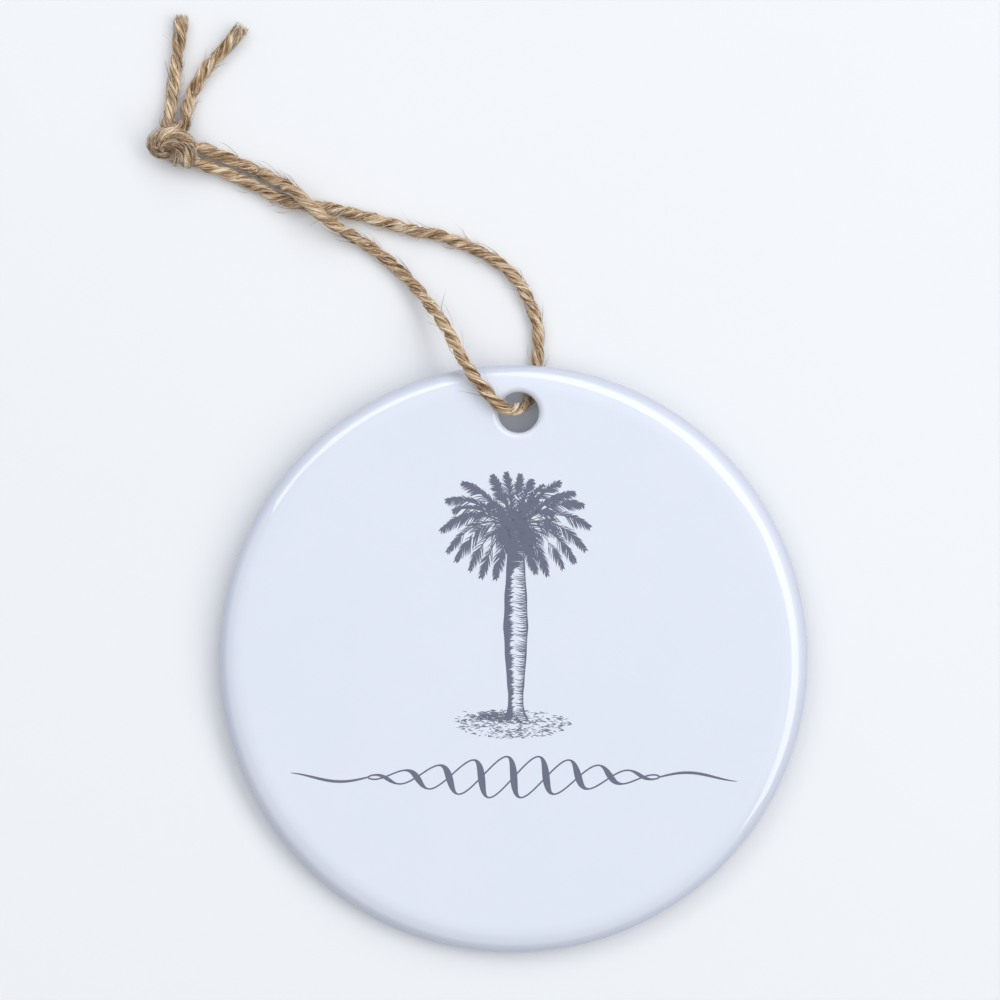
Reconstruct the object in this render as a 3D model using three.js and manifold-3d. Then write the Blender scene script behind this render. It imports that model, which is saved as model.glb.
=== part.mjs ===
// A round glazed ceramic ornament with a loop of jute twine, lying face up with the loop laid out.
// Millimetres, +Z up. The origin is on the table under the middle of the disc, and +Y runs to the hole.
// The twine passes under the disc at the hole, so the disc leans on it by a degree or two.

import * as THREE from 'three'
import { mergeVertices } from 'three/addons/utils/BufferGeometryUtils.js'
import Module from 'manifold-3d'

// The disc
const discDiameter = 73
const discThickness = 3.2
const shoulderWidth = 3.5 // the soft rounding around the face, measured inwards from the rim
const shoulderDrop = 2.2 // and downwards from the face
const edgeBand = 0.2 // the upright band left between the two roundings
const backRounding = 0.8
const holeDiameter = 5
const holeInset = 5.9 // from the rim to the middle of the hole
const holeSide = 0.6 // the hole is this far to the right of the middle
const frontLip = 0.85 // rounding of the hole's mouth in the face
const backLip = 0.5 // and in the back

// The twine
const twineDiameter = 1.5
const knotWidth = 5
const knotDepth = 4.3
const knotHeight = 3.9
const bightReach = 6 // length of the bight to each side of its middle
const fuzzHeight = 0.05 // the twine's loose fibres hold it this far off the table
const gap = 0.3 // clearance between neighbouring pieces

// How finely round things are cut
const discSides = 96
const holeSides = 32
const roundingSteps = 7
const lipSweep = THREE.MathUtils.degToRad(75)
const twineSides = 8
const looseStep = 2.3 * twineDiameter
const bightStep = 0.6 * twineDiameter

const ceramic = new THREE.MeshStandardMaterial({ color: 0xe0e7f3, roughness: 0.12, metalness: 0 })
const jute = new THREE.MeshStandardMaterial({ color: 0xa98c62, roughness: 0.95, metalness: 0 })

// Where the disc lies: it touches the table at its lowest edge and clears the twine under its hole.
const rim = discDiameter / 2
const flatBackRadius = rim - backRounding
const holeFromMiddle = rim - holeInset
const twineRadius = twineDiameter / 2
const twinePitch = twineDiameter + gap // between the middles of two strands that lie together
const tilt = Math.asin((twinePitch + fuzzHeight) / (holeFromMiddle + flatBackRadius))
const holeRadius = holeDiameter / 2

const wasm = await Module()
wasm.setup()

// A closed mesh as a manifold-3d solid, with its shared vertices merged.
function solidOf(geometry) {
  const bare = geometry.clone()
  bare.deleteAttribute('normal')
  bare.deleteAttribute('uv')
  const merged = mergeVertices(bare, 1e-4)
  return new wasm.Manifold(
    new wasm.Mesh({
      numProp: 3,
      vertProperties: new Float32Array(merged.attributes.position.array),
      triVerts: new Uint32Array(merged.index.array),
    }),
  )
}

function geometryOf(solid) {
  const mesh = solid.getMesh()
  const geometry = new THREE.BufferGeometry()
  geometry.setAttribute('position', new THREE.BufferAttribute(mesh.vertProperties, mesh.numProp))
  geometry.setIndex(new THREE.BufferAttribute(mesh.triVerts, 1))
  geometry.computeVertexNormals()
  return geometry
}

// A profile of [radius, height] points turned about the Z axis.
function turned(profile, sides) {
  const points = profile.map(([radius, height]) => new THREE.Vector2(radius, height))
  return new THREE.LatheGeometry(points, sides).rotateX(Math.PI / 2)
}

// Points on a quarter of an ellipse about a centre, from one angle to another.
function arc([radius, height], across, up, from, to, steps = roundingSteps) {
  return Array.from({ length: steps + 1 }, (_, i) => {
    const angle = from + ((to - from) * i) / steps
    return [radius + across * Math.cos(angle), height + up * Math.sin(angle)]
  })
}

// The disc's outline from the middle of its back, out around the rim and in over the shoulder to its face.
function discProfile() {
  const drop = Math.min(shoulderDrop, discThickness - backRounding - edgeBand)
  return [
    [0, 0],
    ...arc([flatBackRadius, backRounding], backRounding, backRounding, -Math.PI / 2, 0),
    ...arc([rim - shoulderWidth, discThickness - drop], shoulderWidth, drop, 0, Math.PI / 2),
    [0, discThickness],
  ]
}

// The hole's cutter: a cylinder that flares at both mouths, and runs on past each face at the flare's last
// slope.
function holeProfile() {
  const backMiddle = [holeRadius + backLip, backLip]
  const frontMiddle = [holeRadius + frontLip, discThickness - frontLip]
  const back = arc(backMiddle, backLip, backLip, Math.PI + lipSweep, Math.PI)
  const front = arc(frontMiddle, frontLip, frontLip, Math.PI, Math.PI - lipSweep)
  const slope = Math.tan(lipSweep)
  const [backEdge, frontEdge] = [back[0], front[front.length - 1]]
  return [
    [0, -frontLip],
    [backEdge[0] + slope * (backEdge[1] + frontLip), -frontLip],
    ...back,
    ...front,
    [frontEdge[0] + slope * (discThickness + frontLip - frontEdge[1]), discThickness + frontLip],
    [0, discThickness + frontLip],
  ]
}

function makeDisc() {
  const cutter = turned(holeProfile(), holeSides).translate(holeSide, holeFromMiddle, 0)
  const cut = solidOf(turned(discProfile(), discSides)).subtract(solidOf(cutter))
  const disc = new THREE.Mesh(geometryOf(cut), ceramic)
  disc.name = 'ceramic_disc'
  return disc
}

// Heights of the twine's centre line: on the table, on the face beside the hole, and on the knot's waist.
const onTable = twineRadius + fuzzHeight
const onFace = twinePitch + fuzzHeight + discThickness * Math.cos(tilt) + gap + twineRadius
const onWaist = 0.8 * (knotHeight / 2)
const liftedBy = (share) => onTable + share * (onFace - onTable)
const steppedOver = (share) => onTable + share * twinePitch

// The way through the hole: over the front lip, down across the hole and out under the back lip. x and y are
// shares of the room that the hole leaves the twine, and the third number is how far the point is from lying
// on the table (0) to lying on the face (1).
const room = holeRadius - twineRadius
const throughHole = [
  [-1, 0.29, 0.9],
  [-0.49, 0.17, 0.72],
  [0, 0.26, 0.5],
  [0.4, 0.51, 0.27],
  [0.71, 0.91, 0.09],
]
const middleOfHole = 2

// The legs' routes, as x and y from the middle of the hole. The third number of an arched point is as above,
// and of a crossing point it is how far it is from lying on the table (0) to lying across the other leg (1).
const frontArched = [
  [-2.7, 1.1, 1.0],
  [-4.0, 2.5, 1.02],
  [-5.25, 4.1, 1.03],
  [-6.5, 5.85, 0.99],
  [-7.45, 7.65, 0.86],
  [-8.5, 9.6, 0.66],
  [-9.7, 11.6, 0.43],
  [-11.2, 13.6, 0.23],
  [-12.9, 15.7, 0.09],
  [-14.8, 17.7, 0.02],
  [-17.3, 19.8, 0.01],
]
const frontCrossing = [
  [-20.4, 21.8, 0.12],
  [-23.4, 23.7, 0.75],
  [-25.5, 25.3, 1.06],
  [-27.7, 26.45 + twinePitch / 2, 0.97],
]
const backLoose = [
  [1.65, 2.6],
  [2.0, 3.7],
  [2.25, 5.1],
  [2.4, 7.0],
  [2.45, 9.0],
  [2.25, 11.2],
  [1.5, 13.6],
  [0.1, 16.1],
  [-1.7, 18.1],
  [-4.1, 19.7],
  [-7.2, 21.1],
  [-10.0, 22.1],
  [-12.8, 22.6],
  [-15.5, 23.4],
  [-18.4, 24.2],
  [-21.6, 25.0],
  [-24.4, 25.6],
  [-27.0, 26.8 - twinePitch / 2],
]
// The last stretch, where the legs lie side by side: the line between them, and their rise to the knot.
const together = [
  [-29.9, 27.75, 0.15],
  [-32.2, 28.95, 0.05],
  [-34.8, 30.1, 0],
  [-37.6, 31.25, 0.25],
  [-40.0, 32.1, 0.9],
]
const [beforeKnot, atKnot] = together.slice(-2).map(([x, y]) => new THREE.Vector3(x, y, knotHeight / 2))
const knotAt = atKnot.clone().add(atKnot.clone().sub(beforeKnot).setLength(knotWidth / 2 + gap))

// One leg's points along that last stretch, to one side (1 or -1) of the line between the legs.
function besideOther(side) {
  return together.map(([x, y, rise], i) => {
    const before = together[Math.max(i - 1, 0)]
    const after = together[Math.min(i + 1, together.length - 1)]
    const square = new THREE.Vector2(after[1] - before[1], before[0] - after[0])
    square.setLength((side * twinePitch) / 2)
    return new THREE.Vector3(x + square.x, y + square.y, onTable + rise * (onWaist - onTable))
  })
}

const frontRoute = [
  ...frontArched.map(([x, y, share]) => new THREE.Vector3(x, y, liftedBy(share))),
  ...frontCrossing.map(([x, y, share]) => new THREE.Vector3(x, y, steppedOver(share))),
  ...besideOther(1),
]
const backRoute = [
  ...backLoose.map(([x, y]) => new THREE.Vector3(x, y, onTable)),
  ...besideOther(-1),
]
const holeRoute = throughHole.map(([x, y, share]) => new THREE.Vector3(x * room, y * room, liftedBy(share)))
const loopRoute = [...frontRoute.reverse(), ...holeRoute, ...backRoute]
const loop = new THREE.CatmullRomCurve3(loopRoute, false, 'centripetal')

// The tails' routes, from the knot's middle.
const tailStart = knotDepth / 2 + gap
const tails = {
  twine_tail_left: [
    [-0.5 * twinePitch, tailStart, onWaist],
    [-0.55, 5.2, onTable + 0.1],
    [-0.25, 7.6, onTable],
    [0, 10, onTable],
    [0.4, 12.8, onTable],
    [0.75, 16.1, onTable],
  ],
  twine_tail_right: [
    [0.5 * twinePitch, tailStart, onWaist],
    [1.5, 5.2, onTable + 0.1],
    [2.5, 7.6, onTable],
    [4.0, 10, onTable],
    [6.0, 12.2, onTable],
    [8.15, 14.7, onTable],
  ],
}

// Part of a longer curve, between two distances along it.
class Stretch extends THREE.Curve {
  constructor(whole, from, to) {
    super()
    const length = whole.getLength()
    this.whole = whole
    this.from = from / length
    this.share = (to - from) / length
  }

  getPoint(t, target) {
    return this.whole.getPointAt(THREE.MathUtils.clamp(this.from + this.share * t, 0, 1), target)
  }
}

// A plain tube along a curve: a regular polygon carried along it in equal steps.
function tube(name, curve, step) {
  const outline = Array.from({ length: twineSides }, (_, i) => {
    const angle = (2 * Math.PI * i) / twineSides
    return new THREE.Vector2(twineRadius * Math.cos(angle), twineRadius * Math.sin(angle))
  })
  const steps = Math.max(2, Math.round(curve.getLength() / step))
  const mesh = new THREE.Mesh(
    new THREE.ExtrudeGeometry(new THREE.Shape(outline), { steps, extrudePath: curve }),
    jute,
  )
  mesh.name = name
  return mesh
}

function makeLoop() {
  const divisions = 2000
  const lengths = loop.getLengths(divisions)
  const whole = lengths[divisions]
  const spans = loop.points.length - 1
  const middle = lengths[Math.round((divisions * (frontRoute.length + middleOfHole)) / spans)]
  return [
    tube('twine_front_leg', new Stretch(loop, 0, middle - bightReach - gap), looseStep),
    tube('twine_bight', new Stretch(loop, middle - bightReach, middle + bightReach), bightStep),
    tube('twine_back_leg', new Stretch(loop, middle + bightReach + gap, whole), looseStep),
  ]
}

function makeTail(name) {
  const points = tails[name].map(([x, y, z]) => new THREE.Vector3(x + knotAt.x, y + knotAt.y, z))
  return tube(name, new THREE.CatmullRomCurve3(points, false, 'centripetal'), looseStep)
}

function makeKnot() {
  const round = new THREE.SphereGeometry(0.5, 20, 12).rotateX(Math.PI / 2)
  const knot = new THREE.Mesh(round.scale(knotWidth, knotDepth, knotHeight), jute)
  knot.name = 'twine_knot'
  knot.position.copy(knotAt)
  return knot
}

const disc = new THREE.Group()
disc.position.z = flatBackRadius * Math.sin(tilt)
disc.rotation.x = tilt
disc.add(makeDisc())

// The hanger turns about the middle of the hole.
const hanger = new THREE.Group()
const holeAlongY = holeFromMiddle * Math.cos(tilt) - (discThickness / 2) * Math.sin(tilt)
hanger.position.set(holeSide, holeAlongY, 0)
hanger.add(...makeLoop(), makeKnot(), ...Object.keys(tails).map(makeTail))

const ornament = new THREE.Group()
ornament.add(disc, hanger)

export default ornament
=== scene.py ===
# A round glazed ornament with a palm tree printed on it, on a loop of jute twine, lying on a pale table.
# Sizes are millimetres until a mesh is made. +Y runs from the middle of the disc to its hole.
import bpy
import numpy as np
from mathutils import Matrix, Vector


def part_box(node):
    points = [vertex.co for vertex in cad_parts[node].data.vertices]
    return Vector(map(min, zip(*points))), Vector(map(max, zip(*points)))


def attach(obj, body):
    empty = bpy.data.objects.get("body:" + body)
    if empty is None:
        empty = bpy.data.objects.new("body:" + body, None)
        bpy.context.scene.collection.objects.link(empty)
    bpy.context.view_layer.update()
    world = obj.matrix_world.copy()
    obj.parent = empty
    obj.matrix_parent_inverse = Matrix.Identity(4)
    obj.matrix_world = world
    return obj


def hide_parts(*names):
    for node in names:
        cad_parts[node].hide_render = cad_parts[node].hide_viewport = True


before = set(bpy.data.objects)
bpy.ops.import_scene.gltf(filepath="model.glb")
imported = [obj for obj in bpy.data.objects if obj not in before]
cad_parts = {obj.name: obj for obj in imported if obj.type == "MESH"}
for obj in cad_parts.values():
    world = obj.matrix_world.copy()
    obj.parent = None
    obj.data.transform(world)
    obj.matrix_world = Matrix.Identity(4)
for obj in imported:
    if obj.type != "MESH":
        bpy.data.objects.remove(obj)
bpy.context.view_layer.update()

mm = 0.001
tau = 2 * np.pi


def unit(vectors):
    return vectors / np.linalg.norm(vectors, axis=-1, keepdims=True)


def eased(share):
    # 0 below 0, 1 above 1, and 3t2 - 2t3 between
    held = np.clip(share, 0, 1)
    return held * held * (3 - 2 * held)


# the camera looks straight down
camera = {
    "over": (-1.7, 19.7),
    "height": 3.0,  # of the level where "across" is measured
    "across": 123.9,  # width of what it sees there
    "lens": 160.0,
    "sensor": 36.0,
}


def makeCamera():
    data = bpy.data.cameras.new("camera")
    data.lens = camera["lens"]
    data.sensor_width = camera["sensor"]
    made = bpy.data.objects.new("camera", data)
    away = camera["across"] * camera["lens"] / camera["sensor"]
    made.location = Vector((*camera["over"], camera["height"] + away)) * mm
    bpy.context.scene.collection.objects.link(made)
    bpy.context.scene.camera = made


makeCamera()
print("camera made")


def makeMesh(name, points, faces, finish, body=None, attributes=None):
    # faces is a list of arrays of corner numbers, one row to a face
    corners = np.concatenate([f.ravel() for f in faces])
    sizes = np.concatenate([np.full(len(f), f.shape[1]) for f in faces])
    mesh = bpy.data.meshes.new(name)
    mesh.vertices.add(len(points))
    mesh.vertices.foreach_set("co", (np.asarray(points) * mm).astype(np.float32).ravel())
    mesh.loops.add(len(corners))
    mesh.loops.foreach_set("vertex_index", corners.astype(np.int32))
    mesh.polygons.add(len(sizes))
    mesh.polygons.foreach_set("loop_start", (np.cumsum(sizes) - sizes).astype(np.int32))
    mesh.polygons.foreach_set("use_smooth", np.ones(len(sizes), bool))
    mesh.update(calc_edges=True)
    for key, values in (attributes or {}).items():
        kind = "FLOAT" if values.ndim == 1 else "FLOAT_VECTOR"
        field = "value" if values.ndim == 1 else "vector"
        layer = mesh.attributes.new(key, kind, "POINT")
        layer.data.foreach_set(field, values.astype(np.float32).ravel())
    mesh.validate()
    mesh.materials.append(finish)
    made = bpy.data.objects.new(name, mesh)
    bpy.context.scene.collection.objects.link(made)
    if body:
        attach(made, body)
    return made


def gridFaces(rows, columns, closedRows=False):
    # quads of a rows by columns grid whose columns close round on themselves
    row = np.arange(rows if closedRows else rows - 1)[:, None]
    column = np.arange(columns)[None, :]
    here = row * columns
    after = (row + 1) % rows * columns
    beside = (column + 1) % columns
    corners = (here + column, here + beside, after + beside, after + column)
    return np.stack(np.broadcast_arrays(*corners), axis=-1).reshape(-1, 4)


class Wire:
    # A shader socket that can be worked with like a number: each operator adds its Math node.
    def __init__(self, finish, socket):
        self.finish = finish
        self.socket = socket

    def math(self, operation, first, second):
        return self.finish.node("ShaderNodeMath", {"operation": operation}, {0: first, 1: second})["Value"]

    def __add__(self, other):
        return self.math("ADD", self, other)

    def __radd__(self, other):
        return self.math("ADD", other, self)

    def __sub__(self, other):
        return self.math("SUBTRACT", self, other)

    def __rsub__(self, other):
        return self.math("SUBTRACT", other, self)

    def __mul__(self, other):
        return self.math("MULTIPLY", self, other)

    def __rmul__(self, other):
        return self.math("MULTIPLY", other, self)

    def __gt__(self, other):
        return self.math("GREATER_THAN", self, other)

    def __lt__(self, other):
        return self.math("LESS_THAN", self, other)


class Finish:
    # A material that is being wired up.
    def __init__(self, name):
        self.material = bpy.data.materials.new(name)
        self.material.use_nodes = True
        self.tree = self.material.node_tree
        self.tree.nodes.clear()

    def node(self, kind, settings, values):
        # settings, with a ramp's stops, are set first; values go to the sockets with these names or numbers
        made = self.tree.nodes.new(kind)
        stops = settings.pop("stops", None)
        for name, value in settings.items():
            setattr(made, name, value)
        for number, (place, colour) in enumerate(stops or []):
            elements = made.color_ramp.elements
            stop = elements[number] if number < 2 else elements.new(place)
            stop.position = place
            stop.color = (*colour, 1)
        for key, value in values.items():
            named = [s for s in made.inputs if s.name == key and s.enabled]
            socket = made.inputs[key] if isinstance(key, int) else named[0]
            if isinstance(value, Wire):
                self.tree.links.new(value.socket, socket)
            else:
                socket.default_value = value
        return {s.name: Wire(self, s) for s in made.outputs if s.enabled}

    def noise(self, where, scale, detail=2.0, rough=0.5):
        values = {"Vector": where, "Scale": scale, "Detail": detail, "Roughness": rough}
        return self.node("ShaderNodeTexNoise", {}, values)["Fac"]

    def ramp(self, share, stops):
        return self.node("ShaderNodeValToRGB", {"stops": stops}, {"Fac": share})["Color"]

    def mix(self, share, first, second):
        settings = {"data_type": "RGBA", "blend_type": "MIX"}
        return self.node("ShaderNodeMix", settings, {"Factor": share, "A": first, "B": second})["Result"]

    def stretched(self, where, scale):
        return self.node("ShaderNodeVectorMath", {"operation": "MULTIPLY"}, {0: where, 1: scale})["Vector"]

    def bump(self, height, depth):
        values = {"Height": height, "Strength": 1.0, "Distance": depth * mm}
        return self.node("ShaderNodeBump", {}, values)["Normal"]

    def done(self, values):
        surface = self.node("ShaderNodeBsdfPrincipled", {}, values)["BSDF"]
        self.node("ShaderNodeOutputMaterial", {}, {"Surface": surface})
        return self.material


def linear(red, green, blue):
    # a colour given as 0-255 screen values, as the shader wants it
    screen = np.array([red, green, blue]) / 255
    return tuple(np.where(screen <= 0.04045, screen / 12.92, ((screen + 0.055) / 1.055) ** 2.4).tolist())


def shade(red, green, blue):
    return (*linear(red, green, blue), 1.0)


# the sizes the design gives the disc and the twine
low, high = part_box("ceramic_disc")
disc = {
    "diameter": (high.x - low.x) / mm,
    "thickness": 3.2,
    "shoulderWidth": 3.5,  # the soft rounding around the face
    "shoulderDrop": 2.2,
    "backRounding": 0.8,
    "holeDiameter": 5.0,
    "holeInset": 5.9,
    "holeSide": 0.6,
    "frontLip": 0.85,
    "backLip": 0.5,
    "swell": 0.02,  # how far the glaze swells and dips
    "around": 512,
}
twine = {
    "diameter": 1.5,
    "gap": 0.3,
    "fuzz": 0.05,
    "lay": 5.4,  # length of one turn of its two plies
    "plyOffset": 0.33,  # from the middle of the twine to the middle of a ply
    "plyDeep": 0.42,
    "plyWide": 0.53,
    "step": 0.1,
    "sides": 40,
    "ridge": 0.075,  # height of the fibre ridges
    "fibreTurn": 14.0,  # length in which the fibres turn once against their ply
    "ridges": [(0.55, 12, 1.4), (0.45, 24, 2.6)],  # each kind's share, number round a ply and length
    "uneven": 0.12,  # how much a ply thickens and thins
    "unevenLength": 3.1,
    "thinnest": 0.012,
}
knot = {"width": 5.0, "depth": 4.3, "height": 3.9, "waist": 0.8}

rim = disc["diameter"] / 2
flatBackRadius = rim - disc["backRounding"]
holeFromMiddle = rim - disc["holeInset"]
holeRadius = disc["holeDiameter"] / 2
holeAt = np.array([disc["holeSide"], holeFromMiddle])
twineRadius = twine["diameter"] / 2
twinePitch = twine["diameter"] + twine["gap"]
# the disc leans on the twine that passes under its hole
tilt = np.arcsin((twinePitch + twine["fuzz"]) / (holeFromMiddle + flatBackRadius))
holeAlongY = holeFromMiddle * np.cos(tilt) - disc["thickness"] / 2 * np.sin(tilt)
# heights of the twine's middle on the table, on the disc's face and where it meets the knot
onTable = twineRadius + twine["fuzz"]
onFace = twinePitch + twine["fuzz"] + disc["thickness"] * np.cos(tilt) + twine["gap"] + twineRadius
onWaist = knot["waist"] * knot["height"] / 2


def leaned(points):
    # from the disc's own frame, where its back is z = 0, to where it leans on the twine
    x, y, z = np.moveaxis(points, -1, 0)
    up = flatBackRadius * np.sin(tilt) + y * np.sin(tilt) + z * np.cos(tilt)
    return np.stack([x, y * np.cos(tilt) - z * np.sin(tilt), up], axis=-1)


# The twine's route through the hole: x and y in shares of the room it has there, then how far up it is from
# the table (0) to lying on the face (1).
throughHole = np.array([
    [-1, 0.29, 0.9], [-0.49, 0.17, 0.72], [0, 0.26, 0.5], [0.4, 0.51, 0.27], [0.71, 0.91, 0.09],
])
middleOfHole = 2
# the front leg over the disc and down, with the same heights, but with x and y from the middle of the hole
frontArched = np.array([
    [-2.7, 1.1, 1.0], [-4.0, 2.5, 1.02], [-5.25, 4.1, 1.03], [-6.5, 5.85, 0.99], [-7.45, 7.65, 0.86],
    [-8.5, 9.6, 0.66], [-9.7, 11.6, 0.43], [-11.2, 13.6, 0.23], [-12.9, 15.7, 0.09], [-14.8, 17.7, 0.02],
    [-17.3, 19.8, 0.01],
])
# where it crosses the back leg, its height runs from the table (0) to lying on that leg (1)
frontCrossing = np.array([
    [-20.4, 21.8, 0.12], [-23.4, 23.7, 0.75], [-25.5, 25.3, 1.06], [-27.7, 26.45 + twinePitch / 2, 0.97],
])
# the back leg on the table
backLoose = np.array([
    [1.65, 2.6], [2.0, 3.7], [2.25, 5.1], [2.4, 7.0], [2.45, 9.0], [2.25, 11.2], [1.5, 13.6], [0.1, 16.1],
    [-1.7, 18.1], [-4.1, 19.7], [-7.2, 21.1], [-10.0, 22.1], [-12.8, 22.6], [-15.5, 23.4], [-18.4, 24.2],
    [-21.6, 25.0], [-24.4, 25.6], [-27.0, 26.8 - twinePitch / 2],
])
# the line between the legs where they lie side by side, and their rise to the knot's waist
together = np.array([
    [-29.9, 27.75, 0.15], [-32.2, 28.95, 0.05], [-34.8, 30.1, 0], [-37.6, 31.25, 0.25], [-40.0, 32.1, 0.9],
])


def risen(points, top):
    # the third column is a share of the way from the table to top
    return np.column_stack([points[:, :2], onTable + points[:, 2] * (top - onTable)])


def besideOther(side):
    # half a pitch to one side of the line between the legs
    before = np.vstack([together[:1], together[:-1]])
    after = np.vstack([together[1:], together[-1:]])
    along = (after - before)[:, :2]
    square = unit(np.column_stack([along[:, 1], -along[:, 0]])) * side * twinePitch / 2
    return risen(np.column_stack([together[:, :2] + square, together[:, 2]]), onWaist)


towardsKnot = unit(together[-1, :2] - together[-2, :2])
toKnot = towardsKnot * (knot["width"] / 2 + twine["gap"])
knotAt = np.array([*(together[-1, :2] + toKnot), knot["height"] / 2])
tailStart = knot["depth"] / 2 + twine["gap"]
# the tails, from the middle of the knot
tails = {
    "left": np.array([
        [-0.5 * twinePitch, tailStart, onWaist], [-0.55, 5.2, onTable + 0.1], [-0.25, 7.6, onTable],
        [0, 10, onTable], [0.4, 12.8, onTable], [0.75, 16.1, onTable],
    ]),
    "right": np.array([
        [0.5 * twinePitch, tailStart, onWaist], [1.5, 5.2, onTable + 0.1], [2.5, 7.6, onTable],
        [4, 10, onTable], [6, 12.2, onTable], [8.15, 14.7, onTable],
    ]),
}
# The knot, tied with both strands together: the pair's middle and half of the way from the back leg's strand
# to the front one's, with x from the knot's middle towards the legs, y to the tails' side and z up.
knotPair = np.array([
    [1.5, -0.1, -0.35, 0.0, 0.62, 0.1],
    [0.1, -0.3, -0.35, 0.1, 0.6, 0.1],
    [-1.2, -0.75, -0.2, 0.35, 0.5, 0.1],
    [-2.0, -0.5, 0.35, 0.6, 0.1, 0.1],
    [-1.3, 0.55, 0.95, 0.35, -0.5, 0.0],
    [0.0, 0.85, 1.05, 0.0, -0.6, 0.1],
    [1.25, 0.3, 1.0, -0.5, -0.35, 0.0],
    [1.6, -0.9, 0.45, -0.6, 0.0, 0.0],
    [1.2, -1.35, -0.6, -0.6, 0.0, 0.2],
    [0.5, -0.6, -1.35, -0.55, -0.3, 0.0],
    [-0.3, 0.5, -1.1, -0.55, -0.25, 0.0],
    [-0.8, 1.5, -0.3, -0.6, -0.2, 0.0],
])


def smoothLine(points, step):
    # A centripetal Catmull-Rom curve through the points, read at equal steps along it.
    ends = np.vstack([2 * points[0] - points[1], points, 2 * points[-1] - points[-2]])
    gaps = np.sqrt(np.linalg.norm(np.diff(ends, axis=0), axis=1))[:, None]
    slopes = np.diff(ends, axis=0) / gaps
    turned = slopes[:-1] - (ends[2:] - ends[:-2]) / (gaps[:-1] + gaps[1:]) + slopes[1:]
    startSlope = turned[:-1] * gaps[1:-1]
    endSlope = turned[1:] * gaps[1:-1]
    t = np.linspace(0, 1, 60, endpoint=False)[:, None, None]
    curved = (
        (2 * t**3 - 3 * t**2 + 1) * points[:-1] + (t**3 - 2 * t**2 + t) * startSlope
        + (3 * t**2 - 2 * t**3) * points[1:] + (t**3 - t**2) * endSlope
    )
    dense = np.vstack([np.swapaxes(curved, 0, 1).reshape(-1, 3), points[-1:]])
    along = np.concatenate([[0], np.cumsum(np.linalg.norm(np.diff(dense, axis=0), axis=1))])
    at = np.linspace(0, along[-1], int(round(along[-1] / step)) + 1)
    return np.column_stack([np.interp(at, along, dense[:, k]) for k in range(3)])


def fromHole(points):
    # points measured from the middle of the hole, put in their place
    return np.asarray(points) + [disc["holeSide"], holeAlongY, 0]


def knotStrand(side):
    # the front leg's strand for side 1, the back leg's for side -1
    toLegs = np.array([-towardsKnot[0], -towardsKnot[1], 0])
    toTails = np.array([towardsKnot[1], -towardsKnot[0], 0])
    own = knotPair[:, :3] + side * knotPair[:, 3:]
    return knotAt + own[:, :1] * toLegs + own[:, 1:2] * toTails + own[:, 2:] * [0, 0, 1]


holeRoute = risen(throughHole * [holeRadius - twineRadius, holeRadius - twineRadius, 1], onFace)
frontRoute = np.vstack([
    holeRoute[middleOfHole::-1], risen(frontArched, onFace), risen(frontCrossing, onTable + twinePitch),
    besideOther(1),
])
backRoute = np.vstack([
    holeRoute[middleOfHole:], np.column_stack([backLoose, np.full(len(backLoose), onTable)]), besideOther(-1),
])


def wholeStrand(route, side, tail):
    # from the middle of the hole along a leg, through the knot and out along a tail, with the numbers of
    # the points where the knot and the tail begin
    tailRoute = knotAt * [1, 1, 0] + tails[tail]
    line = smoothLine(fromHole(np.vstack([route, knotStrand(side), tailRoute])), twine["step"])
    places = fromHole([route[-1], tailRoute[0]])
    nearest = [np.linalg.norm(line - p, axis=1).argmin() for p in places]
    return {"line": line, "knot": nearest[0], "tail": nearest[1]}


def carriedFrames(line):
    # tangents, and two square directions carried along the line without turning about it
    tangent = unit(np.gradient(line, axis=0))
    side = np.empty_like(line)
    notAlong = [0.3, 0.2, 0.9]
    side[0] = unit(np.cross(tangent[0], notAlong))
    for i in range(1, len(line)):
        flat = side[i - 1] - tangent[i] * (side[i - 1] @ tangent[i])
        side[i] = flat / np.sqrt(flat @ flat)
    return tangent, side, np.cross(tangent, side)


strands = {
    "front": wholeStrand(frontRoute, 1, "right"),
    "back": wholeStrand(backRoute, -1, "left"),
}
for strand in strands.values():
    strand["frames"] = carriedFrames(strand["line"])


def ripple(rng, around, along, count, wave):
    # Smooth random heights from -1 to 1 on a strand: a random grid that closes round the angle,
    # read with eased mixing between its neighbours.
    grid = rng.uniform(-1, 1, (int(along.max() / wave) + 3, count))
    u = around / tau * count
    v = along / wave
    i = np.floor(v).astype(int)
    j = np.floor(u).astype(int)
    s = eased(v - i)
    t = eased(u - j)
    near = grid[i, j % count] * (1 - t) + grid[i, (j + 1) % count] * t
    far = grid[i + 1, j % count] * (1 - t) + grid[i + 1, (j + 1) % count] * t
    return near * (1 - s) + far * s


clearOfZero = 20  # added to lengths and turns, so that no grid of heights is read before its start
plyApart = 37.3  # between the two plies' places in the jute's pattern


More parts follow.
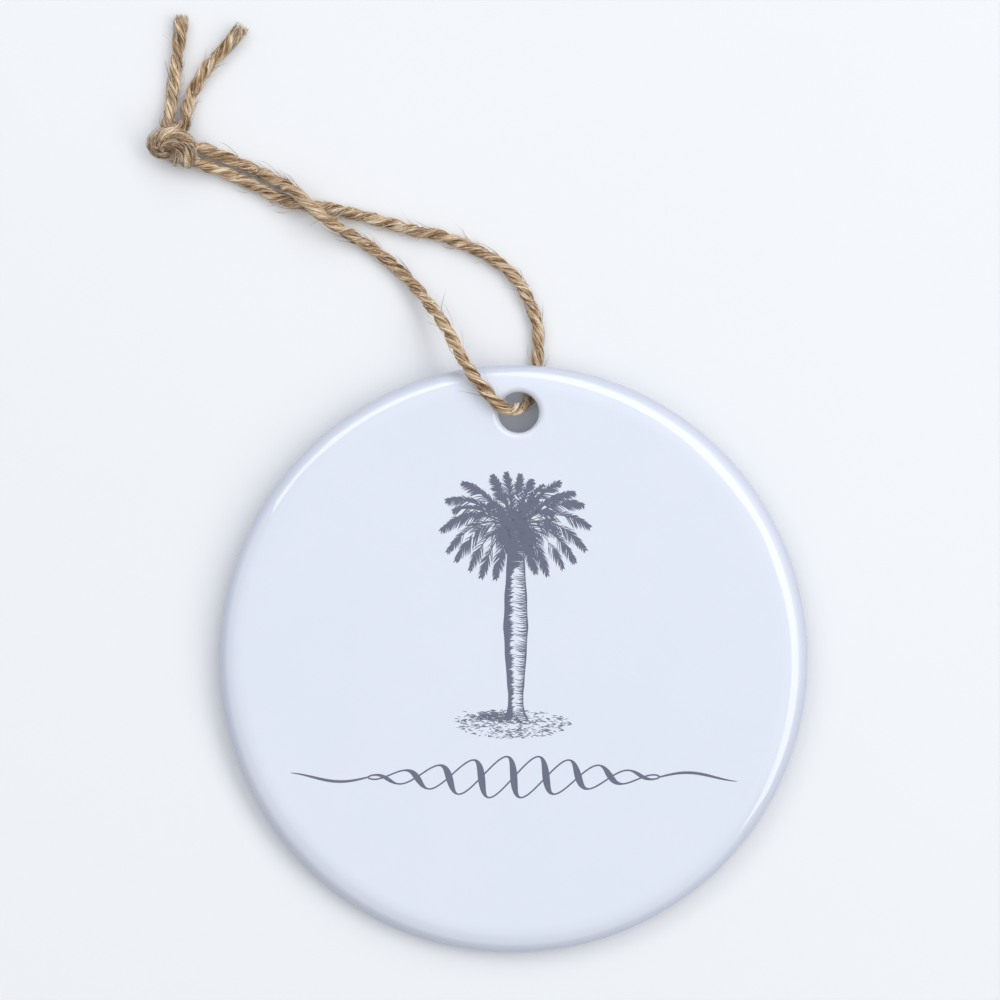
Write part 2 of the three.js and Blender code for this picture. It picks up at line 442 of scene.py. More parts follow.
def pliesOf(strand, begin, end, seed, swell=None):
    # The two plies of a stretch of twine. A ply's middle runs round the line at plyOffset on a left-handed
    # helix, and its outline is an ellipse flattened where it meets the other ply, roughened by fibre ridges.
    rng = np.random.default_rng(seed)
    line = strand["line"]
    tangent, side, up = strand["frames"]
    at = np.arange(len(line)) * twine["step"]
    cut = slice(begin, end + 1)
    points, faces, fibre, ridge = [], [], [], []
    around = np.linspace(0, tau, twine["sides"], endpoint=False)[None, :]
    along = (at[cut] + clearOfZero)[:, None]
    grown = np.ones_like(along) if swell is None else swell(at[cut] - at[begin])[:, None]
    for ply in (0, 1):
        angle = -tau * at[cut] / twine["lay"] + ply * np.pi
        out = np.cos(angle)[:, None] * side[cut] + np.sin(angle)[:, None] * up[cut]
        beside = np.cross(tangent[cut], out)
        carried = around - tau * along / twine["fibreTurn"] + 2 * clearOfZero * tau
        ridges = sum(
            share * ripple(rng, carried, along, count, wave) for share, count, wave in twine["ridges"]
        )
        thick = grown * (1 + twine["uneven"] * ripple(rng, 0 * along, along, 1, twine["unevenLength"]))
        deep = twine["plyDeep"] * thick + twine["ridge"] * ridges
        wide = twine["plyWide"] * thick + twine["ridge"] * ridges
        outwards = np.maximum(twine["plyOffset"] * grown + deep * np.cos(around), twine["thinnest"])
        sideways = wide * np.sin(around)
        ring = line[cut][:, None] + outwards[..., None] * out[:, None] + sideways[..., None] * beside[:, None]
        ring[..., 2] = np.maximum(ring[..., 2], 0)  # pressed flat where it meets the table
        rows = len(ring)
        ends = line[[begin, end]] + 0.5 * twine["plyOffset"] * out[[0, -1]]
        first = sum(len(p) for p in points)
        number = np.arange(twine["sides"])
        nextTo = (number + 1) % twine["sides"]
        lastRow = (rows - 1) * twine["sides"]
        tip = rows * twine["sides"]
        faces.append(first + gridFaces(rows, twine["sides"]))
        caps = np.vstack([
            np.column_stack([nextTo, number, np.full_like(number, tip)]),
            np.column_stack([lastRow + number, lastRow + nextTo, np.full_like(number, tip + 1)]),
        ])
        faces.append(first + caps)
        points.append(np.vstack([ring.reshape(-1, 3), ends]))
        apart = along + plyApart * ply
        turned = np.stack(np.broadcast_arrays(np.cos(carried), np.sin(carried), apart), axis=-1)
        fibre.append(np.vstack([turned.reshape(-1, 3), turned[[0, -1], 0]]))
        # the ridge heights go to the shader, which paints shade into the valleys between them
        ridge.append(np.concatenate([ridges.ravel(), [0, 0]]))
    attributes = {"fibre": np.vstack(fibre), "ridge": np.concatenate(ridge)}
    return np.vstack(points), faces, attributes


juteLook = {
    # the darkest, the palest and those between, each with its place on the ramp
    "colours": [
        (0.2, linear(82, 60, 40)), (0.86, linear(252, 246, 238)),
        (0.35, linear(138, 107, 74)), (0.49, linear(192, 162, 126)), (0.64, linear(226, 203, 173)),
    ],
    "darker": 0.66,
    "streaks": (2.4, 2.4, 0.45),  # scales round and along a ply
    "fine": (9.0, 9.0, 1.1),
    "patches": (0.5, 0.5, 0.5),
    "rough": 0.82,
    "specular": 0.25,
    "sheen": 0.15,
    "bump": 0.12,
}


def juteFinish():
    # fine streaks along the fibres, in larger patches, with painted shade: darker in the valleys between the
    # fibre ridges and paler on them
    finish = Finish("jute")
    fibre = finish.node("ShaderNodeAttribute", {"attribute_name": "fibre"}, {})["Vector"]
    ridge = finish.node("ShaderNodeAttribute", {"attribute_name": "ridge"}, {})["Fac"]
    streaks = finish.noise(finish.stretched(fibre, juteLook["streaks"]), 1.0, 3.0, 0.7)
    fine = finish.noise(finish.stretched(fibre, juteLook["fine"]), 1.0, 2.0, 0.6)
    patches = finish.noise(finish.stretched(fibre, juteLook["patches"]), 1.0, 1.0)
    # the ridge term is painted shade: darker in the valleys between fibre ridges, paler on the ridges
    share = streaks * 1.3 + fine * 0.6 + ridge * 0.24 + patches * 0.4 - juteLook["darker"]
    return finish.done({
        "Base Color": finish.ramp(share, juteLook["colours"]),
        "Roughness": juteLook["rough"],
        "Specular IOR Level": juteLook["specular"],
        "Sheen Weight": juteLook["sheen"],
        "Normal": finish.bump(fine * 0.6 + streaks, juteLook["bump"]),
    })


jute = juteFinish()


def makeTwine(name, strand, begin, end, seed, swell=None):
    points, faces, attributes = pliesOf(strand, begin, end, seed, swell)
    made = makeMesh(name, points, faces, jute, "hanger", attributes)
    return made


# lengths back from a tail's end, and shares of the twine's thickness
fray = {"from": 5.0, "over": 4.0, "swell": 0.2, "closesFrom": 0.8, "close": 0.6}


def frayed(distance):
    # the last few millimetres of a tail swell as the twist lets go, and close in at the very end
    toEnd = distance[-1] - distance
    swollen = fray["swell"] * eased((fray["from"] - toEnd) / fray["over"])
    return 1 + swollen - fray["close"] * np.clip(1 - toEnd / fray["closesFrom"], 0, 1) ** 2


front, back = strands["front"], strands["back"]
frontKnot, frontTail, frontEnd = front["knot"], front["tail"], len(front["line"]) - 1
backKnot, backTail, backEnd = back["knot"], back["tail"], len(back["line"]) - 1
frontLeg = makeTwine("jute_front_leg", front, 0, frontKnot, 11)
backLeg = makeTwine("jute_back_leg", back, 0, backKnot, 12)
knotFront = makeTwine("jute_knot_strand_1", front, frontKnot, frontTail, 11)
knotBack = makeTwine("jute_knot_strand_2", back, backKnot, backTail, 12)
tailRight = makeTwine("jute_tail_right", front, frontTail, frontEnd, 11, frayed)
tailLeft = makeTwine("jute_tail_left", back, backTail, backEnd, 12, frayed)
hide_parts("twine_front_leg", "twine_bight")
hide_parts("twine_back_leg")
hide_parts("twine_knot")
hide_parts("twine_tail_left")
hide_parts("twine_tail_right")


def declareLeg(strand, mouth):
    path = strand["line"][:strand["knot"] + 1]
    (fromHole([mouth])[0] * mm).tolist()
    (path * mm).tolist()


def insideDisc(points, spare=0.1):
    # whether each point is in the disc, taken as a plain round slab with a hole and a little to spare
    x = points[..., 0]
    over = points[..., 2] - flatBackRadius * np.sin(tilt)
    y = points[..., 1] * np.cos(tilt) + over * np.sin(tilt)
    z = over * np.cos(tilt) - points[..., 1] * np.sin(tilt)
    beyondHole = np.hypot(x - holeAt[0], y - holeAt[1]) > holeRadius - spare / 2
    return (z > -spare) & (z < disc["thickness"] + spare) & (np.hypot(x, y) < rim + spare) & beyondHole


fibres = {
    "each": 7.0,  # how many start on a millimetre of twine
    "long": (2.5, 7.0),
    "thick": (0.05, 0.13),
    "stations": 8,
    "strays": 0.3,  # share of them with an end that stands away from the twine
    "strayReach": (0.2, 3.0),
    "strayThick": 0.06,
    "standsFrom": 0.2,  # past this reach a fibre counts as standing away
    "leaves": 0.45,  # how far along it stops following the ply
    "wobble": 0.2,
    "spread": 1.9,  # angle to each side of a ply's outer line
    "height": (-0.03, 0.035),  # over the ply's own surface
    "sunk": 0.3,  # how deep a tuft's fibres may start in the ply
}


def makeFibres(name, strand, begin, end, seed, count=None, beyond=0, splay=0, standing=3, hanging=3):
    # Each fibre follows the ellipse of its ply at an angle that turns slowly, and lifts off it as a power of
    # the way along. It is a three-sided tube that tapers to both ends. Past the strand's end it runs on
    # straight. beyond is how far ends may pass the strand's end, splay how far every fibre may stand off, and
    # standing and hanging how far any may reach over and under the twine.
    rng = np.random.default_rng(seed)
    line, step = strand["line"], twine["step"]
    span = (end - begin) * step
    count = count or int(fibres["each"] * span)
    each = (count, 1)
    t = np.linspace(0, 1, fibres["stations"])[None, :]
    long = rng.uniform(*fibres["long"], each)
    stray = rng.random(each) < fibres["strays"]
    if beyond:
        start = span - long + beyond * rng.uniform(-1, 1, each)
    else:
        allowed = span - long * (0.5 if end < len(line) - 1 else 1)
        start = rng.uniform(0, 1, each) * allowed
    at = begin * step + start + long * t
    lengths = np.arange(len(line)) * step
    held = np.clip(at, 0, lengths[-1])

    def read(values):
        return np.stack([np.interp(held, lengths, column) for column in values.T], axis=-1)

    tangent, side, up = [unit(read(values)) for values in strand["frames"]]
    middle = read(line) + tangent * (at - held)[..., None]
    reach = stray * rng.uniform(*fibres["strayReach"], each) * rng.random(each) ** 1.5
    if splay:
        reach = splay * rng.random(each)
    loose = reach > fibres["standsFrom"]
    wound = at - loose * long * np.maximum(t - fibres["leaves"], 0)  # a free end leaves straight
    turn = -tau * wound / twine["lay"] + np.pi * rng.integers(0, 2, each)
    out = np.cos(turn)[..., None] * side + np.sin(turn)[..., None] * up
    beside = np.cross(tangent, out)
    around = rng.uniform(-fibres["spread"], fibres["spread"], each)
    around = around - tau * long / twine["fibreTurn"] * (t - 0.5)
    around = around + fibres["wobble"] * np.sin(6 * t + rng.uniform(0, 6, each)) * ~loose
    lift = rng.uniform(*fibres["height"], each) + reach * t**2.5
    if beyond:
        lift = lift - fibres["sunk"] * rng.random(each)
    outwards = twine["plyOffset"] + (twine["plyDeep"] + lift) * np.cos(around)
    sideways = (twine["plyWide"] + lift) * np.sin(around)
    middle = middle + out * outwards[..., None] + beside * sideways[..., None]
    thick = np.where(loose, fibres["strayThick"], rng.uniform(*fibres["thick"], each))
    height = read(line)[..., 2]
    lowest = np.maximum(0.02 + thick, height - twineRadius - hanging)
    middle[..., 2] = np.clip(middle[..., 2], lowest, height + twineRadius + standing)
    kept = ~insideDisc(middle).any(axis=1)
    middle, thick = middle[kept], thick[kept]
    count = len(middle)
    forwards = unit(np.gradient(middle, axis=1))
    square = unit(np.cross(forwards, out[kept] + 0.01))
    third = np.cross(forwards, square)
    corner = np.arange(3) / 3 * tau
    radius = thick / 2 * (1 - 0.8 * (2 * t - 1) ** 2)
    ring = square[:, :, None] * np.cos(corner)[:, None] + third[:, :, None] * np.sin(corner)[:, None]
    points = (middle[:, :, None] + radius[..., None, None] * ring).reshape(-1, 3)
    first = (np.arange(count) * fibres["stations"] * 3)[:, None, None]
    quads = (first + gridFaces(fibres["stations"], 3)[None]).reshape(-1, 4)
    tip = (fibres["stations"] - 1) * 3
    caps = (first + np.array([[2, 1, 0], [tip, tip + 1, tip + 2]])[None]).reshape(-1, 3)
    rows = (count, fibres["stations"], 3)
    own = rng.uniform(0, 60, (count, 1, 3)) + np.array([0, 0, 1]) * (long[kept] * t)[..., None]
    fibre = np.broadcast_to(own[:, :, None], (*rows, 3)).reshape(-1, 3)
    # each loose fibre's own tone, lighter or darker at random, goes in the same attribute
    ridge = np.broadcast_to(rng.uniform(-1.3, 1.3, (count, 1, 1)), rows).reshape(-1)
    made = makeMesh(name, points, [quads, caps], jute, "hanger", {"fibre": fibre, "ridge": ridge})
    return made


# the front leg's fibres don't hang, nor the back leg's stand, into the disc as the loop swings
knotFuzz = {"count": 420, "splay": 0.55, "standing": 0.6}
fibresFront = makeFibres("jute_fibres_front_leg", front, 0, frontKnot, 21, hanging=0.1)
fibresBack = makeFibres("jute_fibres_back_leg", back, 0, backKnot, 22, standing=0.06)
fibresKnotFront = makeFibres("jute_fibres_knot_1", front, frontKnot, frontTail, 23, **knotFuzz)
fibresKnotBack = makeFibres("jute_fibres_knot_2", back, backKnot, backTail, 24, **knotFuzz)
fibresRight = makeFibres("jute_fibres_tail_right", front, frontTail, frontEnd, 25)
fibresLeft = makeFibres("jute_fibres_tail_left", back, backTail, backEnd, 26)
tuftRight = makeFibres("jute_tuft_right", front, frontTail, frontEnd, 27, 260, beyond=0.7, splay=0.5)
tuftLeft = makeFibres("jute_tuft_left", back, backTail, backEnd, 28, 220, beyond=0.5, splay=0.3)
declareLeg(front, holeRoute[0])
declareLeg(back, holeRoute[-1])
print("twine made")


def faceHeight(x, y):
    # the glaze's height over the disc's back: the thickness, less an elliptical shoulder near the rim and a
    # round lip near the hole, with a faint swell
    toHole = np.hypot(x - holeAt[0], y - holeAt[1])
    shoulder = np.clip((np.hypot(x, y) - rim + disc["shoulderWidth"]) / disc["shoulderWidth"], 0, 1)
    lip = np.clip((holeRadius + disc["frontLip"] - toHole) / disc["frontLip"], 0, 1)
    swell = np.sin(x / 5.3 + 1.1 * np.sin(y / 7.9)) * np.sin(y / 6.1 + 1.3 * np.sin(x / 9.7)) * disc["swell"]
    drop = disc["shoulderDrop"] * (1 - np.sqrt(1 - shoulder**2))
    dip = disc["frontLip"] * (1 - np.sqrt(1 - lip**2))
    return disc["thickness"] - drop - dip + swell * (1 - eased(shoulder * 2)) * (1 - eased(lip * 2))


def discSurface():
    # Nested circles from the hole's edge (share 0) to the rim (share 1): the middle of each is (1 - share) of
    # the way to the hole and its radius grows evenly. The profile goes out over the face, round the rim,
    # in across the back and up the wall of the hole.
    angle = np.linspace(0, tau, disc["around"], endpoint=False)
    direction = np.stack([np.cos(angle), np.sin(angle)], axis=-1)
    # the shares lie closest where the profile bends most, at the lip and the shoulder
    share = np.concatenate([
        0.02 * np.linspace(0, 1, 13) ** 2,
        np.geomspace(0.02, 0.3, 26)[1:],
        np.linspace(0.3, 0.9, 16)[1:],
        1 - 0.1 * np.linspace(1, 0, 45)[1:] ** 2,
    ])
    back = np.concatenate([np.linspace(1, 0.9, 3), np.linspace(0.8, 0.1, 6), np.linspace(0.05, 0, 4)])

    def circles(share, rimRadius, holeEdge):
        middle = (1 - share)[:, None, None] * holeAt
        radius = holeEdge + (rimRadius - holeEdge) * share
        return middle + radius[:, None, None] * direction

    def raised(flat, height):
        height = np.broadcast_to(height, flat.shape[:2])
        return np.concatenate([flat, height[..., None]], axis=-1)

    top = circles(share, rim, holeRadius)
    top = raised(top, faceHeight(top[..., 0], top[..., 1]))
    turn = np.linspace(0, np.pi / 2, 9)
    flat = rim - disc["backRounding"] * (1 - np.cos(turn))
    rounding = np.stack([flat, disc["backRounding"] * (1 - np.sin(turn))], axis=-1)
    band = raised(direction * rounding[:, None, :1], rounding[:, 1:])
    under = raised(circles(back[1:], flatBackRadius, holeRadius + disc["backLip"]), 0)
    lipTurn = np.linspace(0, np.pi / 2, 8)[1:, None]
    lipRadius = holeRadius + disc["backLip"] * (1 - np.sin(lipTurn))
    lip = raised(holeAt + direction * lipRadius[..., None], disc["backLip"] * (1 - np.cos(lipTurn)))
    rise = np.array([0.33, 0.67])[:, None]
    wallHeight = disc["backLip"] + rise * (top[0, :, 2] - disc["backLip"])
    wall = raised(holeAt + direction * holeRadius + 0 * rise[..., None], wallHeight)
    return np.concatenate([top, band, under, lip, wall])


glazed = {
    "rough": 0.035,
    "roughSpread": 0.03,
    "refraction": 1.7,
    "bump": 0.012,
    "cloudScale": 90.0,
    "peelScale": 700.0,
    "pitScale": 150.0,
    "pitless": 0.86,  # share of the pattern's cells that hold no pit
    "pitSize": 0.03,
    "pitShade": 0.7,
    "pitShows": 0.35,
    "rimShadeBand": 1.15,  # width of the painted shade band at the rim
}


def glazeFinish(name, colour, deep, rimShadeColour):
    # faint clouds between two colours, a darker third at the rim as painted shade of the steep rounding, and
    # a few pinhead pits
    finish = Finish(name)
    where = finish.node("ShaderNodeTexCoord", {}, {})["Object"]
    cloud = finish.noise(where, glazed["cloudScale"], 3.0, 0.6)
    peel = finish.noise(where, glazed["peelScale"], 2.0, 0.5)
    cells = finish.node("ShaderNodeTexVoronoi", {}, {"Vector": where, "Scale": glazed["pitScale"]})
    picked = finish.node("ShaderNodeSeparateColor", {}, {"Color": cells["Color"]})["Red"] > glazed["pitless"]
    pit = (cells["Distance"] < glazed["pitSize"]) * picked
    flat = finish.stretched(where, (1, 1, 0))
    fromAxis = finish.node("ShaderNodeVectorMath", {"operation": "LENGTH"}, {0: flat})["Value"]
    towardsRim = (fromAxis * (1 / mm) - (rim - glazed["rimShadeBand"])) * (1 / glazed["rimShadeBand"])
    # thin is the share of painted rim shade, rising over the band towards the rim
    thin = finish.ramp(towardsRim, [(0.0, (0, 0, 0)), (0.75, (1, 1, 1))])
    tinted = finish.mix(thin, finish.mix(cloud, colour, deep), rimShadeColour)
    pitColour = (*np.multiply(deep[:3], glazed["pitShade"]).tolist(), 1)
    return finish.done({
        "Base Color": finish.mix(pit * glazed["pitShows"], tinted, pitColour),
        "Roughness": cloud * glazed["roughSpread"] + glazed["rough"],
        "IOR": glazed["refraction"],
        "Normal": finish.bump(peel * 0.12 + cloud * 0.5 - pit * 2.0, glazed["bump"]),
    })


# the third, greyer colour is painted shade at the rim
glaze = glazeFinish("glaze", shade(222, 228, 241), shade(216, 223, 238), shade(192, 198, 216))
ink = glazeFinish("ink", shade(98, 103, 126), shade(88, 94, 116), shade(88, 94, 116))


def makeDisc():
    grid = discSurface()
    faces = gridFaces(len(grid), disc["around"], closedRows=True)[:, ::-1]
    made = makeMesh("ornament_disc", leaned(grid).reshape(-1, 3), [faces], glaze, "disc")
    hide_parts("ceramic_disc")


makeDisc()
print("disc made")


# how far the print's strokes stand over the glaze and reach down into it
printed = {"proud": 0.008, "sunk": 0.03}


def makeStrokes(name, middles, widths, seed):
    # Each stroke is a thin closed strip: a line of points with a width at each, its top a little over the
    # glaze and its underside a little way into it.
    rng = np.random.default_rng(seed)
    count, stations, _ = middles.shape
    along = unit(np.gradient(middles, axis=1) + 1e-9)
    square = np.stack([-along[..., 1], along[..., 0]], axis=-1) * widths[..., None] / 2
    sides = np.stack([middles + square, middles - square, middles - square, middles + square], axis=2)
    height = faceHeight(sides[..., 0], sides[..., 1])
    proud = printed["proud"] * rng.uniform(0.7, 1.3, (count, 1, 1))
    sunk = -printed["sunk"] + 0 * proud
    height = height + np.concatenate([proud, proud, sunk, sunk], axis=2)
    points = leaned(np.concatenate([sides, height[..., None]], axis=-1)).reshape(-1, 3)
    first = (np.arange(count) * stations * 4)[:, None, None]
    quads = (first + gridFaces(stations, 4)[None, :, ::-1]).reshape(-1, 4)
    end = (stations - 1) * 4
    caps = first + np.array([[0, 1, 2, 3], [end + 3, end + 2, end + 1, end]])[None]
    made = makeMesh(name, points, [quads, caps.reshape(-1, 4)], ink, "disc")
    made.data.polygons.foreach_set("use_smooth", np.zeros(len(made.data.polygons), bool))


crown = {
    "heart": (0.1, 16.0),
    "leaflets": 60,  # down each side of a frond
    "leaflet": 1.5,
    "lean": 33,  # a leaflet's angle to its rib, with its spread and what is added near the heart
    "leanSpread": 9,
    "leanNearHeart": 12,
    "droop": 0.3,
    "thick": 0.16,
    "litThinner": 0.09,
    "halo": 0.05,  # bare glaze left round a frond where it lies over another
    "showsUnder": 0.35,  # share of the covered leaflets that are left in
}
# Where each frond ends, measured from the heart, and how steeply it sets out, from the back ones to the
# front.
fronds = np.array([
    [0.7, 6.9, 6.5], [-1.0, 7.1, 6.8], [2.1, 6.2, 7.2], [-2.7, 6.8, 8.0], [3.6, 5.5, 8.0],
    [-6.3, 5.9, 9.0], [5.5, 6.0, 8.6], [-8.3, 3.8, 8.6], [8.4, 3.2, 8.2], [-7.5, 2.5, 7.0],
    [7.3, 4.7, 8.0], [-9.0, 0.1, 7.5], [9.2, 0.5, 7.2], [-8.2, -2.5, 6.2], [8.7, -2.3, 6.5],
    [-7.2, -3.6, 4.6], [7.4, -3.8, 5.0], [-5.5, -4.7, 3.6], [5.9, -4.5, 4.2], [-4.1, -5.6, 2.2],
    [4.0, -5.3, 2.6], [-2.4, -5.8, 0.8], [2.6, -5.1, 1.0], [-4.9, 1.6, 5.6], [4.7, 2.1, 5.8],
    [-3.0, 3.5, 5.4], [2.5, 3.9, 5.6], [-5.7, -0.9, 4.4], [5.5, -0.5, 4.6], [-3.3, -2.9, 3.2],
    [3.4, -2.6, 3.4], [-1.3, -2.5, 2.4], [1.5, -2.0, 2.6], [0.3, 2.2, 3.6],
])
# where the light catches the crown: x, y and the size of each patch
glints = np.array([
    [-3.1, 17.0, 1.3], [2.9, 17.1, 1.4], [4.3, 14.4, 1.5],
    [-2.9, 14.0, 1.5], [-5.6, 15.6, 0.9], [6.0, 17.0, 0.9],
])


def makeCrown():
    # A frond's rib leaves the heart in a straight line and falls away from it as the square of the distance.
    # Its leaflets leave both sides of the rib pointing forwards, shorter towards its tip. One that lies
    # under a frond nearer the front, or where the light catches, may be left out.
    rng = np.random.default_rng(5)
    count, leaflets = len(fronds), crown["leaflets"]
    across, end, steep = fronds[:, :1], fronds[:, 1:2], fronds[:, 2:]

    def rib(t):
        rise = steep * t - (steep - end) * t**2
        return np.stack([crown["heart"][0] + across * t, crown["heart"][1] + rise], axis=-1)

    def reachOfLeaflet(t):
        return crown["leaflet"] * (0.55 + 0.9 * t) * (1 - 0.8 * t**3)

    t = np.linspace(0.1, 1, leaflets)[None, :] + 0 * across
    roots = rib(t)
    forwards = unit(rib(t + 0.02) - rib(t - 0.02))
    u = np.linspace(0, 1, 5)[:, None]
    leaves = []
    for side in (-1, 1):
        lean = np.radians(crown["lean"] + crown["leanSpread"] * rng.uniform(-1, 1, t.shape))
        lean = lean + np.radians(crown["leanNearHeart"]) * (1 - t)
        long = reachOfLeaflet(t) * rng.uniform(0.8, 1.12, t.shape)
        c = np.cos(lean)
        s = side * np.sin(lean)
        x, y = np.moveaxis(forwards, -1, 0)
        away = np.stack([x * c - y * s, x * s + y * c], axis=-1)
        droop = np.array([0, -crown["droop"]]) * u**2 * long[..., None, None]
        leaves.append(roots[..., None, :] + away[..., None, :] * long[..., None, None] * u + droop)
    leaves = np.stack(leaves, axis=2)
    spine = rib(np.linspace(0.05, 1, 24)[None, :])
    breadth = 0.55 * reachOfLeaflet(np.linspace(0.05, 1, 24)) + crown["halo"]
    tips = leaves[..., 3, :]
    away = np.linalg.norm(tips[:, :, :, None, None] - spine[None, None, None], axis=-1)
    order = np.arange(count)
    covered = (away < breadth) & (order[None, :, None] > order[:, None, None])[:, None, None]
    shown = ~covered.any(axis=(3, 4)) | (rng.random(t.shape)[..., None] < crown["showsUnder"])
    toGlint = leaves[..., 2, None, :] - glints[:, :2]
    lit = np.exp(-(toGlint**2).sum(-1) / glints[:, 2] ** 2).max(axis=-1)
    shown = shown & (rng.random(lit.shape) > 0.95 * lit)
    thick = (crown["thick"] - crown["litThinner"] * lit) * rng.uniform(0.65, 1.15, lit.shape)
    widths = thick[..., None] * np.array([0.75, 1, 0.95, 0.7, 0.1])
    makeStrokes("print_palm_leaflets", leaves[shown], widths[shown], 6)
    ribs = rib(np.linspace(0, 0.97, 16)[None, :])
    ribWidths = np.linspace(0.3, 0.08, 16) * np.where(np.arange(count) % 3 == 0, 0.4, 1)[:, None]
    makeStrokes("print_palm_ribs", ribs, ribWidths, 7)


makeCrown()

trunk = {
    "middle": 0.25,
    "rings": 124,
    # half its width at each height: flared at the foot, fullest in the middle and slim under the crown
    "heights": [-7.3, -6.6, -5.6, -4.0, -1.0, 4.0, 8.5, 12.0, 16.2],
    "halves": [1.5, 1.1, 0.95, 0.92, 1.2, 1.5, 1.32, 1.08, 1.0],
    "sag": 0.25,  # how far a ring's middle hangs
    "shaded": 0.34,  # share of the width that is dark
    "shadeFrom": 10.6,  # the crown's shadow starts here and is whole this much higher
    "shadeOver": 2.4,
}


def trunkEdges(y):
    half = np.interp(y, trunk["heights"], trunk["halves"])
    return trunk["middle"] - half, trunk["middle"] + half


def makeTrunk():
    # Each ring is two sagging strokes: a dark one from the left edge, and a thin one from the right edge that
    # stops short of it.
    rng = np.random.default_rng(8)
    count = trunk["rings"]
    foot, top = trunk["heights"][0], trunk["heights"][-1]
    y = np.linspace(top, foot, count) + rng.uniform(-0.04, 0.04, count)
    left, right = trunkEdges(y)
    u = np.linspace(0, 1, 6)[None, :]
    sag = -trunk["sag"] * np.sin(np.pi * u)
    underCrown = eased((y - trunk["shadeFrom"]) / trunk["shadeOver"])
    shaded = trunk["shaded"] + rng.uniform(-0.07, 0.13, count) + 0.7 * underCrown
    dark = (right - left) * np.minimum(shaded, 0.96)
    shadow = np.stack([left[:, None] + dark[:, None] * u, y[:, None] + 0.3 * sag], axis=-1)
    light = (right - left) * rng.uniform(0.2, 0.72, count)
    hatch = np.stack([right[:, None] - light[:, None] * u, y[:, None] + sag * light[:, None] * 0.5], axis=-1)
    shadowWidth = np.broadcast_to(np.array([0.25, 0.25, 0.24, 0.21, 0.15, 0.02]), shadow.shape[:2])
    hatchWidth = np.broadcast_to(np.array([0.15, 0.14, 0.12, 0.1, 0.06, 0.02]), hatch.shape[:2])
    lines = np.concatenate([shadow, hatch])
    makeStrokes("print_palm_trunk", lines, np.concatenate([shadowWidth, hatchWidth]), 9)
    edgeY = np.linspace(top, foot, 60)
    left, right = trunkEdges(edgeY)
    edges = np.stack([np.stack([left + 0.05, edgeY], -1), np.stack([right - 0.06, edgeY], -1)])
    widths = 0.16 + 0.07 * np.sin(np.linspace(0, 40, 60))[None] * np.ones((2, 1))
    makeStrokes("print_palm_edges", edges, widths, 10)


makeTrunk()

ground = {
    "marks": 640,
    "middle": (-0.1, -7.9),
    "half": (7.1, 1.75),
    "shadowMarks": 260,
    "shadowMiddle": (-2.3, -7.0),
    "shadowSpread": (1.5, 0.34),
}


def makeGround():
    # short bowed strokes, scattered evenly over an ellipse and thickly in the trunk's shadow
    rng = np.random.default_rng(12)
    count = ground["marks"]
    shadow = ground["shadowMarks"]
    radius = np.sqrt(rng.random(count))
    turn = rng.random(count) * tau
    x = ground["middle"][0] + ground["half"][0] * radius * np.cos(turn)
    y = ground["middle"][1] + ground["half"][1] * radius * np.sin(turn)
    x[:shadow] = ground["shadowMiddle"][0] + ground["shadowSpread"][0] * rng.normal(0, 1, shadow)
    y[:shadow] = ground["shadowMiddle"][1] + ground["shadowSpread"][1] * rng.normal(0, 1, shadow)
    half = rng.uniform(0.1, 0.4, count)
    u = np.linspace(-1, 1, 5)[None, :]
    rise = rng.uniform(-0.12, 0.12, count)[:, None]
    lines = np.stack([x[:, None] + half[:, None] * u, y[:, None] + rise * u - 0.06 * u**2], axis=-1)
    thick = rng.uniform(0.05, 0.13, count)[:, None]
    makeStrokes("print_palm_ground", lines, thick * np.array([0.3, 0.85, 1, 0.8, 0.2]), 13)


makeGround()

flourish = {
    "height": -14.5,
    "half": 18.0,  # half the chain's length
    "cells": 9,
    "swing": 2.6,
    "slant": 0.42,
    "thin": 0.2,
    "thick": 0.7,
    "reach": 27.6,  # from the middle to a tail's tip
}


def makeFlourish():
    # Two waves cross in a chain, thick where they fall and thin where they rise, between two tapering tails.
    x = np.linspace(-flourish["half"], flourish["half"], 420)
    t = x / flourish["half"]
    swing = flourish["swing"] * (1 - t**2) ** 0.5 * (0.72 + 0.28 * np.cos(t * np.pi))
    phase = t * flourish["cells"] * np.pi / 2
    lines, widths = [], []
    for side in (-1, 1):
        wave = side * swing * np.sin(phase)
        lines.append(np.stack([x + flourish["slant"] * wave, flourish["height"] + wave], axis=-1))
        fall = -side * np.cos(phase)
        widths.append(flourish["thin"] + flourish["thick"] * np.clip(fall, 0, 1) ** 1.5 * (1 - t**4))
    makeStrokes("print_flourish_chain", np.array(lines), np.array(widths), 14)
    u = np.linspace(0, 1, 90)
    x = flourish["half"] + (flourish["reach"] - flourish["half"]) * u
    right = np.stack([x, flourish["height"] + 0.55 * np.sin(u * np.pi * 1.4)], axis=-1)
    left = right * [-1, -1] + [0, 2 * flourish["height"]]
    lines = np.stack([right, left])
    widths = flourish["thin"] + 0.16 * np.sin(u * np.pi)[None] * np.ones((2, 1)) - 0.12 * u[None] ** 4
    makeStrokes("print_flourish_tails", lines, widths, 15)


makeFlourish()
print("print made")


table = {
    "half": 4000.0,
    "colours": (shade(236, 238, 242), shade(231, 234, 239)),
    "cloudScale": 8.0,
    "rough": 0.75,
    "specular": 0.2,
}


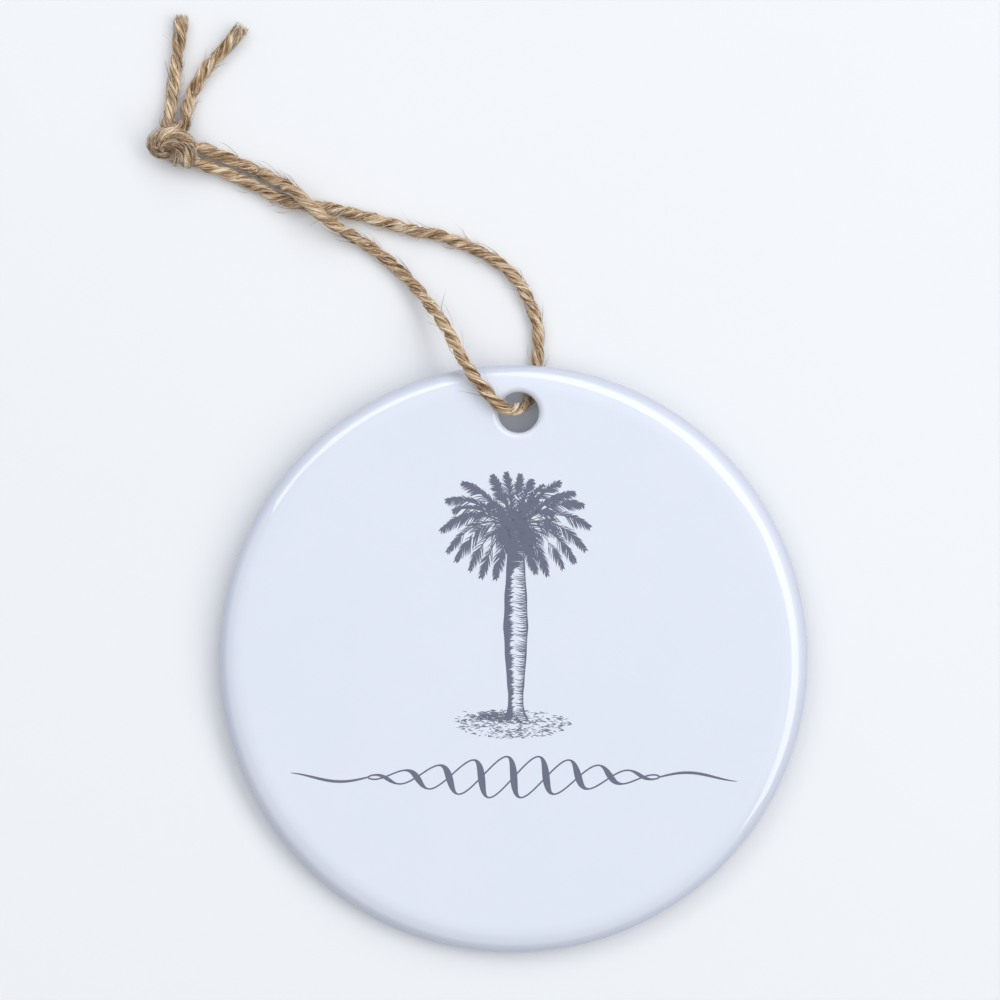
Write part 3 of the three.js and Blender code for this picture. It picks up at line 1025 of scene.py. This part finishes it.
def tableFinish():
    finish = Finish("pale_table")
    where = finish.node("ShaderNodeTexCoord", {}, {})["Object"]
    cloud = finish.noise(where, table["cloudScale"], 3.0, 0.5)
    return finish.done({
        "Base Color": finish.mix(cloud, *table["colours"]),
        "Roughness": table["rough"],
        "Specular IOR Level": table["specular"],
    })


def makeTable():
    half = table["half"]
    corners = np.array([[-half, -half, 0], [half, -half, 0], [half, half, 0], [-half, half, 0]])
    top = makeMesh("table_top", corners, [np.array([[0, 1, 2, 3]])], tableFinish())


lamps = {
    "window": {
        "azimuth": 28, "elevation": 47, "away": 1000,
        "wide": 2800, "tall": 460, "watts": 8.6, "colour": (1, 0.99, 0.97),
    },
    "ceiling": {
        "azimuth": 60, "elevation": 84, "away": 1500,
        "wide": 2600, "tall": 2600, "watts": 8.4, "colour": (1, 1, 1),
    },
    "wall": {
        "azimuth": 128, "elevation": 40, "away": 1000,
        "wide": 700, "tall": 260, "watts": 1.5, "colour": (0.95, 0.97, 1),
    },
}
room = {"colour": (0.96, 0.97, 0.98, 1), "strength": 0.5}


def makeLamps():
    for name, lamp in lamps.items():
        data = bpy.data.lights.new(name, "AREA")
        data.shape = "RECTANGLE"
        data.size = lamp["wide"] * mm
        data.size_y = lamp["tall"] * mm
        data.energy = lamp["watts"]
        data.color = lamp["colour"]
        made = bpy.data.objects.new(name, data)
        azimuth, elevation = np.radians([lamp["azimuth"], lamp["elevation"]])
        level = np.cos(elevation)
        out = Vector((np.cos(azimuth) * level, np.sin(azimuth) * level, np.sin(elevation)))
        made.location = out * lamp["away"] * mm
        made.rotation_mode = "QUATERNION"
        made.rotation_quaternion = out.to_track_quat("Z", "Y")
        made.visible_camera = False
        bpy.context.scene.collection.objects.link(made)
    world = bpy.data.worlds.new("room")
    world.use_nodes = True
    background = world.node_tree.nodes["Background"]
    background.inputs["Color"].default_value = room["colour"]
    background.inputs["Strength"].default_value = room["strength"]
    bpy.context.scene.world = world
    bpy.context.scene.view_settings.view_transform = "Standard"


makeTable()
makeLamps()
print("table and light made")
